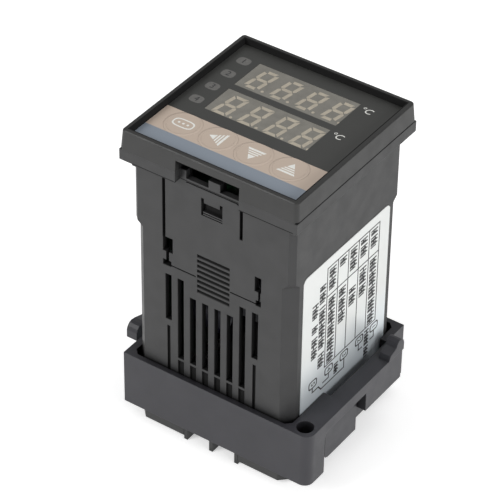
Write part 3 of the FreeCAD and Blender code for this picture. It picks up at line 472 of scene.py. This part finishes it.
def bent_film(across, inner, outer):
    """Collar of film that rises gently from the panel to the edge of a key and hangs in its gap."""
    bend = bmesh.new()
    foot = film_face + BEND_LIFT
    rise = key_face - 3 * BEND_LIFT - film_face
    profile = [(outer + (inner - outer) * step / BEND_STEPS,
                foot + rise * (0.5 - 0.5 * math.cos(math.pi * step / BEND_STEPS)))
               for step in range(BEND_STEPS + 1)]
    profile += [(inner, film_face - BEND_HANG), (inner + BEND_WALL, film_face - BEND_HANG),
                (inner + BEND_WALL, film_face)]
    rings = []
    for radius, level in profile:
        angles = [2 * math.pi * turn / BEND_TURNS for turn in range(BEND_TURNS)]
        rings.append([bend.verts.new(((across + radius * math.cos(angle)) * MM,
                                      (row + radius * math.sin(angle)) * MM, level)) for angle in angles])
    for here, there in zip(rings, rings[1:] + rings[:1]):
        for turn in range(BEND_TURNS):
            after = (turn + 1) % BEND_TURNS
            bend.faces.new([here[turn], here[after], there[after], there[turn]])
    for face in bend.faces:
        face.smooth = True
    return bend


for name, across in key_x.items():
    piece_from(bent_film(across, key_side + BEND_GAP, key_side + BEND_WIDE), name.replace("key", "bend"),
               film, "chassis")

ring = bmesh.new()
prism(ring, oval(key_x["key_set"], key_y, SET_WIDE, SET_TALL, 3.2), key_face, key_face + INK_THICK,
      oval(key_x["key_set"], key_y, SET_WIDE - 2 * SET_LINE, SET_TALL - 2 * SET_LINE, 3.0))
for offset in (-DOT_PITCH, 0, DOT_PITCH):
    prism(ring, oval(key_x["key_set"] + offset, key_y, SET_DOT, SET_DOT, count=20), key_face,
          key_face + INK_THICK)
piece_from(ring, "set_mark", ink_pale, "key_set_body")


def barred_arrow(turn):
    """Arrowhead with three bars behind it, pointing along +Y before it is turned."""
    tip, foot = ARROW_BARS[0][0], ARROW_BARS[-1][1]
    shapes = []
    for top, low in ARROW_BARS:
        wide = [ARROW_HALF * (tip - level) / (tip - foot) for level in (top, low)]
        outline = [(-wide[1], low), (wide[1], low), (wide[0], top), (-wide[0], top)]
        shapes.append(outline if wide[0] > 0 else outline[:3])
    c, s = math.cos(turn), math.sin(turn)
    return [[(x * c - y * s, x * s + y * c) for x, y in shape] for shape in shapes]


for name, turn, right, up in (("key_shift", math.pi / 2, -MARK_SHIFT, 0),
                              ("key_down", math.pi, 0, -MARK_SHIFT), ("key_up", 0, 0, 0)):
    arrow = bmesh.new()
    for shape in barred_arrow(turn):
        prism(arrow, [(x + key_x[name] + right, y + key_y + up) for x, y in shape],
              key_face, key_face + INK_THICK)
    piece_from(arrow, name.replace("key", "mark"), ink_pale, f"{name}_body")


# Indicator lamps. Small round LEDs in milky resin under the film; each shines through a
# barrel-shaped patch of thinner ink with a plain number, unlit only a little paler than the field.
LAMP_RESIN = (0.45, 0.40, 0.36)
PATCH_GREY = (0.135, 0.132, 0.126)
INK_DARK = (0.03, 0.03, 0.032)
PATCH_WIDE, PATCH_TALL, PATCH_SQUARE, NUMBER_TALL, LAMPS = 3.4, 2.8, 3.2, 1.7, 4
lens, lens_tree, lens_shader = new_finish("diffused lamp resin", LAMP_RESIN, 0.35)
tone(lens_tree, lens_shader, LAMP_RESIN, add_noise(lens_tree, 800, 2), 0.9, 1.1)
finish_part(lens, "indicator_lamps")
patch_ink, patch_tree, patch_shader = new_finish("thin patch ink", PATCH_GREY, 0.42)
tone(patch_tree, patch_shader, PATCH_GREY, add_noise(patch_tree, 2500, 3), 0.85, 1.12)
dark_ink, dark_tree, dark_shader = new_finish("dark ink", INK_DARK, 0.5)
tone(dark_tree, dark_shader, INK_DARK, add_noise(dark_tree, 2500, 3), 0.8, 1.2)
lamp_low, lamp_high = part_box("indicator_lamps")
lamp_wide = lamp_high.x - lamp_low.x
lamp_x = (lamp_low.x + lamp_high.x) / 2 / MM
lamp_gap = (lamp_high.y - lamp_low.y - lamp_wide) / (LAMPS - 1) / MM
lamp_y = (lamp_high.y - lamp_wide / 2) / MM
patches, numbers = bmesh.new(), bmesh.new()
for index in range(LAMPS):
    y = lamp_y - lamp_gap * index
    prism(patches, oval(lamp_x, y, PATCH_WIDE, PATCH_TALL, PATCH_SQUARE), film_face, film_face + INK_THICK)
    write(numbers, str(index + 1), NUMBER_TALL, lamp_x, y, film_face + INK_THICK)
piece_from(patches, "lamp_patches", patch_ink, "chassis")
piece_from(numbers, "lamp_numbers", dark_ink, "chassis")


# Displays. Two four-digit LED modules: grey resin face with slanted seven-segment lenses
# cast in milky resin, unlit, pressed up against a smoked window that the film leaves clear.
SEGMENT = (0.68, 0.61, 0.49)
RESIN = (0.275, 0.265, 0.235)
SLANT = 0.16
DIGITS, DIGIT_PITCH, DIGIT_TALL, DIGIT_WIDE, BAR, MITRE = 4, 6.95, 8.1, 4.1, 0.92, 0.13
DIGIT_SHIFT = 0.8
POINT_WIDE, POINT_OUT = 0.75, 0.55
DIGIT_MIDDLE = {"upper": 12.35, "lower": -0.03}
DIGIT_CORNER = {"upper": 0.6, "lower": 0.15}
DIFFUSER_DEEP, SEGMENT_DEEP, SEGMENT_TOP = 0.12 * MM, 0.07 * MM, 0.03 * MM
EDGE_GAP = 0.02
module_face, module_tree, module_shader = new_finish("module resin", RESIN, 0.5)
tone(module_tree, module_shader, RESIN, add_noise(module_tree, 500, 3), 0.9, 1.1)
finish_part(module_face, "upper_display", "lower_display")
segment_resin, segment_tree, segment_shader = new_finish("milky segment resin", SEGMENT, 0.4)
tone(segment_tree, segment_shader, SEGMENT, add_noise(segment_tree, 700, 3), 0.9, 1.06)


def digit_segments(x, y, corner):
    """Seven mitred bars of one digit about its centre, then its point, slanted to the right."""
    wide, tall, half = DIGIT_WIDE / 2, DIGIT_TALL / 2, BAR / 2
    shapes = []
    for side in (-1, 1):
        shapes.append([(corner + MITRE - wide, side * tall), (wide - corner - MITRE, side * tall),
                       (wide - half - MITRE - corner / 2, side * (tall - half + corner / 2)),
                       (wide - BAR - MITRE, side * (tall - BAR)), (BAR + MITRE - wide, side * (tall - BAR)),
                       (half + MITRE + corner / 2 - wide, side * (tall - half + corner / 2))])
    shapes.append([(half + MITRE - wide, 0), (BAR + MITRE - wide, -half), (wide - BAR - MITRE, -half),
                   (wide - half - MITRE, 0), (wide - BAR - MITRE, half), (BAR + MITRE - wide, half)])
    for side in (-1, 1):
        for end in (-1, 1):
            shapes.append([(side * wide, end * (tall - corner - MITRE)), (side * wide, end * (half + MITRE)),
                           (side * (wide - half), end * MITRE), (side * (wide - BAR), end * (half + MITRE)),
                           (side * (wide - BAR), end * (tall - BAR - MITRE))])
    shapes.append([(px - SLANT * py, py)
                   for px, py in oval(wide + POINT_OUT, half - tall, POINT_WIDE, POINT_WIDE, count=16)])
    return [[(x + px + SLANT * py, y + py) for px, py in shape] for shape in shapes]


def clip_low(outline, edge):
    """Cuts a convex outline off below a level."""
    kept = []
    for index, (x, y) in enumerate(outline):
        nx, ny = outline[(index + 1) % len(outline)]
        if y >= edge:
            kept.append((x, y))
        if (y >= edge) != (ny >= edge):
            share = (edge - y) / (ny - y)
            kept.append((x + share * (nx - x), edge))
    return kept


for name, middle in DIGIT_MIDDLE.items():
    low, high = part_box(f"{name}_window_pane")
    centre = (low.x + high.x) / 2 / MM
    sheet, digits = bmesh.new(), bmesh.new()
    prism(sheet, [(low.x / MM, low.y / MM), (high.x / MM, low.y / MM), (high.x / MM, high.y / MM),
                  (low.x / MM, high.y / MM)], high.z - DIFFUSER_DEEP, high.z - SEGMENT_DEEP)
    piece_from(sheet, f"{name}_diffuser", module_face, "chassis")
    for index in range(DIGITS):
        place = centre + (index - (DIGITS - 1) / 2) * DIGIT_PITCH + DIGIT_SHIFT
        for shape in digit_segments(place, middle, DIGIT_CORNER[name]):
            shape = clip_low(shape, low.y / MM + EDGE_GAP)
            if len(shape) > 2:
                prism(digits, shape, high.z - SEGMENT_DEEP, high.z - SEGMENT_TOP)
    piece_from(digits, f"{name}_segments", segment_resin, "chassis")

WINDOW_TINT = (0.20, 0.19, 0.17)
WINDOW_COVER = 0.25
smoked, smoked_tree, smoked_shader = new_finish("smoked window", WINDOW_TINT, 0.3)
smoked_shader.inputs["Alpha"].default_value = WINDOW_COVER
tone(smoked_tree, smoked_shader, WINDOW_TINT, add_noise(smoked_tree, 300, 2), 0.96, 1.04)
finish_part(smoked, "upper_window_pane", "lower_window_pane")


# Side labels. Self-adhesive silvery polyester, printed in black with a ruled table and a
# wiring diagram with plain terminal numbers. The print only looks like text.
LABEL_SILVER = (0.790, 0.805, 0.790)
# Painted reflection: bluer tint at the label's foot, fading out between two heights.
LABEL_REFLECTED = (0.760, 0.830, 0.880)
REFLECTION_LOW, REFLECTION_HIGH = 19 * MM, 36 * MM


def paint_foot_reflection(tree, shader, foot, low, high):
    """Painted reflection: silver film that turns cooler towards the foot of the label."""
    lay_over(tree, shader, "Base Color", rescale(tree, part_axes(tree)["Z"], low, high, 1, 0), foot)


silver, silver_tree, silver_shader = new_finish("silvery polyester", LABEL_SILVER, 0.34)
silver_shader.inputs["Metallic"].default_value = 0.5
tone(silver_tree, silver_shader, LABEL_SILVER, add_noise(silver_tree, 60, 3), 0.97, 1.03)
# Painted reflection, bluer towards the foot of the label.
paint_foot_reflection(silver_tree, silver_shader, LABEL_REFLECTED, REFLECTION_LOW, REFLECTION_HIGH)
grain(silver_tree, silver_shader, add_noise(silver_tree, 2600, 2, (1, 1, 0.08)), 0.0012 * MM)
finish_part(silver, "side_label", "far_label")

TABLE = {"left": -8.0, "right": 13.5, "top": 56.7, "head": 48.4, "low": 27.6}
COLUMNS = 5
LINE, STROKE, LEAD = 0.32, 0.42, 0.34
STROKE_SHIFT = 0.16
HEAD_START = 1.0
CHARACTER_PITCH, CHARACTER_WIDE, CHARACTER_TALL = 1.02, 0.62, 2.4
COLUMN_MIDDLE = 2.15
HEAD_COUNTS = (6, 2, 6, 5, 5)
ENTRY_STARTS = (1.2, 1.4, 4.2, 1.2, 1.2)
ENTRY_COUNTS = (19, 10, 5, 8, 19)
LOOSE_RUNS = ((-9.7, 52.8, 5, 2.1), (-9.7, 46.6, 12, 2.1), (-9.7, 32.8, 4, 2.1),
              (-12.6, 49.0, 4, 2.0), (-12.6, 42.7, 2, 2.0), (-12.6, 39.2, 6, 2.0),
              (-3.0, 25.4, 3, 1.4), (9.9, 26.6, 8, 1.5))
TERMINAL_PLACES = (-12.7, -6.1, 0.3, 6.8, 13.1)
TERMINAL_ROWS = ((5, 25.7), (10, 12.6))
TERMINAL_WIDE, TERMINAL_TALL, TERMINAL_LINE, TERMINAL_FIGURE = 3.5, 2.5, 0.35, 1.55
LEADS = (((-12.8, 24.4), (-12.8, 23.2), (-10.3, 23.2), (-9.2, 21.8), (0.4, 21.8), (0.4, 24.4)),
         ((-6.1, 24.4), (-6.1, 23.2), (-8.4, 23.2)), ((6.6, 24.4), (6.6, 22.7), (8.0, 22.7)),
         ((13.1, 24.4), (13.1, 22.7), (11.7, 22.7)),
         ((-12.7, 13.8), (-12.7, 16.4), (-6.1, 16.4), (-6.1, 13.8)), ((0.3, 13.8), (0.3, 15.2), (2.6, 15.2)),
         ((6.8, 13.8), (6.8, 15.2), (4.6, 15.2)), ((13.1, 13.8), (13.1, 16.4)))


def line_between(mesh, start, end, level, width=LINE):
    """Straight printed line with square ends."""
    (x0, y0), (x1, y1) = start, end
    long = math.hypot(x1 - x0, y1 - y0)
    ux, uy = (x1 - x0) / long, (y1 - y0) / long
    sx, sy = -uy * width / 2, ux * width / 2
    ex, ey = ux * width / 2, uy * width / 2
    prism(mesh, [(x0 - ex - sx, y0 - ey - sy), (x1 + ex - sx, y1 + ey - sy),
                 (x1 + ex + sx, y1 + ey + sy), (x0 - ex + sx, y0 - ey + sy)], level, level + INK_THICK)


def print_run(ink, across, top, count, tall):
    """Strokes that only look like characters, reading down the label."""
    for index in range(count):
        start = top - CHARACTER_PITCH * index
        after = start - CHARACTER_WIDE
        shift = STROKE_SHIFT * ((index * 7 + count) % 5 - 2)
        line_between(ink, (across - tall / 2, start), (across + tall / 2, start), 0, STROKE)
        if (index + count) % 3:
            line_between(ink, (across + shift, start), (across + shift, after), 0, STROKE)
        if (index * 3 + count) % 4:
            line_between(ink, (across - tall / 2, after), (across + tall / 4, after), 0, STROKE)


def print_label(name, side):
    """Print of one label, drawn flat with the panel's Y across and Z up, then stood against the case."""
    ink = bmesh.new()
    columns = [TABLE["left"] + (TABLE["right"] - TABLE["left"]) * index / COLUMNS
               for index in range(COLUMNS + 1)]
    for column in columns:
        line_between(ink, (column, TABLE["top"]), (column, TABLE["low"]), 0)
    for level in (TABLE["top"], TABLE["head"], TABLE["low"]):
        line_between(ink, (TABLE["left"], level), (TABLE["right"], level), 0)
    for column, count in zip(columns, HEAD_COUNTS):
        print_run(ink, column + COLUMN_MIDDLE, TABLE["top"] - HEAD_START, count, CHARACTER_TALL)
    for column, start, count in zip(columns, ENTRY_STARTS, ENTRY_COUNTS):
        print_run(ink, column + COLUMN_MIDDLE, TABLE["head"] - start, count, CHARACTER_TALL)
    for across, top, count, tall in LOOSE_RUNS:
        print_run(ink, across, top, count, tall)
    # Wiring diagram: two rows of numbered terminal boxes and their leads.
    for last, level in TERMINAL_ROWS:
        for index, across in enumerate(TERMINAL_PLACES):
            prism(ink, oval(across, level, TERMINAL_WIDE, TERMINAL_TALL, 4.0, 24), 0, INK_THICK,
                  oval(across, level, TERMINAL_WIDE - 2 * TERMINAL_LINE,
                       TERMINAL_TALL - 2 * TERMINAL_LINE, 4.0, 24))
            write(ink, str(last - index), TERMINAL_FIGURE, across, level, 0, turn=-math.pi / 2)
    for lead in LEADS:
        for start, end in zip(lead, lead[1:]):
            line_between(ink, start, end, 0, LEAD)
    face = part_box(name)[1].x if side > 0 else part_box(name)[0].x
    stand = Matrix(((0, 0, side, face), (side, 0, 0, 0), (0, 1, 0, 0), (0, 0, 0, 1)))
    piece_from(ink, name.replace("label", "print"), dark_ink, "case", stand)


print_label("side_label", 1)
print_label("far_label", -1)


# Mounting bracket. Tough moulded nylon, a touch smoother and colder in tone than the case. It
# slides over the case from behind; its two corner bosses are for screws that press on the panel.
BRACKET_GREY = (0.0340, 0.0335, 0.0395)
bracket_nylon = moulded_plastic("charcoal nylon bracket", BRACKET_GREY, 0.40, 0.25 * MM, 0.004 * MM)
# Painted shade in the bracket's hollows and on its faces close to the case.
paint_hollow_shade(bracket_nylon, 4.5 * MM, 0.12)
finish_part(bracket_nylon, "mounting_bracket")


# Studio: pale seamless floor, a broad soft lamp from the left, weaker ones from the right and
# from above, and an even white surround.
FLOOR_PALE = (0.88, 0.88, 0.88)
FLOOR_GLOW = 0.47
FLOOR_DROP = 0.05 * MM
FLOOR_HALF = 2.5
SURROUND = 0.36
PART_MIDDLE = (0, 0, 0.05)


def floor_finish():
    """Matt pale floor that keeps shadows, and reads as white to the lens and in reflections."""
    material, tree, shader = new_finish("pale floor", FLOOR_PALE, 0.75)
    tone(tree, shader, FLOOR_PALE, add_noise(tree, 4, 2), 0.995, 1.005)
    rays = tree.nodes.new("ShaderNodeLightPath").outputs
    seen = work_out(tree, "MAXIMUM", rays["Is Camera Ray"], rays["Is Glossy Ray"])
    seen = work_out(tree, "MAXIMUM", seen, rays["Is Transmission Ray"])
    glow = tree.nodes.new("ShaderNodeEmission")
    tree.links.new(work_out(tree, "MULTIPLY", seen, FLOOR_GLOW), glow.inputs["Strength"])
    both = tree.nodes.new("ShaderNodeAddShader")
    tree.links.new(shader.outputs["BSDF"], both.inputs[0])
    tree.links.new(glow.outputs["Emission"], both.inputs[1])
    tree.links.new(both.outputs["Shader"], tree.nodes["Material Output"].inputs["Surface"])
    return material


sheet = bmesh.new()
bmesh.ops.create_grid(sheet, x_segments=1, y_segments=1, size=FLOOR_HALF,
                      matrix=Matrix.Translation((0, 0, -FLOOR_DROP)))
floor_mesh = bpy.data.meshes.new("studio_floor")
sheet.to_mesh(floor_mesh)
sheet.free()
floor_mesh.materials.append(floor_finish())
floor = bpy.data.objects.new("studio_floor", floor_mesh)
bpy.context.scene.collection.objects.link(floor)


def soft_lamp(name, place, target, width, watts):
    data = bpy.data.lights.new(name, "AREA")
    data.shape = "DISK"
    data.size = width
    data.energy = watts
    lamp = bpy.data.objects.new(name, data)
    lamp.location = place
    lamp.rotation_euler = (Vector(target) - Vector(place)).to_track_quat("-Z", "Y").to_euler()
    bpy.context.scene.collection.objects.link(lamp)


soft_lamp("left_lamp", (-0.45, -0.75, 0.6), PART_MIDDLE, 0.5, 5.0)
soft_lamp("right_lamp", (0.85, -0.2, 0.4), PART_MIDDLE, 0.4, 3.9)
soft_lamp("top_lamp", (0.1, 0.35, 0.9), PART_MIDDLE, 0.6, 1.6)
world = bpy.data.worlds.new("white surround")
world.use_nodes = True
world.node_tree.nodes["Background"].inputs["Color"].default_value = (1, 1, 1, 1)
world.node_tree.nodes["Background"].inputs["Strength"].default_value = SURROUND
bpy.context.scene.world = world
bpy.context.scene.view_settings.view_transform = "Standard"


# Camera: a long lens, which keeps upright edges nearly parallel. It looks down on the front
# panel from the latch side and leans by about a degree.
AZIMUTH, ELEVATION, ROLL = math.radians(34.453), math.radians(38.193), math.radians(0.896)
DISTANCE, FOCAL = 0.62723, 194.5
TARGET = Vector((-3.211, -2.136, 46.649)) * MM
away = Vector((math.sin(AZIMUTH) * math.cos(ELEVATION), -math.cos(AZIMUTH) * math.cos(ELEVATION),
               math.sin(ELEVATION)))
lens_data = bpy.data.cameras.new("camera")
lens_data.lens = FOCAL
lens_data.sensor_width = 36
camera = bpy.data.objects.new("camera", lens_data)
camera.matrix_world = (Matrix.Translation(TARGET + away * DISTANCE)
                       @ (-away).to_track_quat("-Z", "Y").to_matrix().to_4x4()
                       @ Matrix.Rotation(ROLL, 4, "Z"))
bpy.context.scene.collection.objects.link(camera)
bpy.context.scene.camera = camera
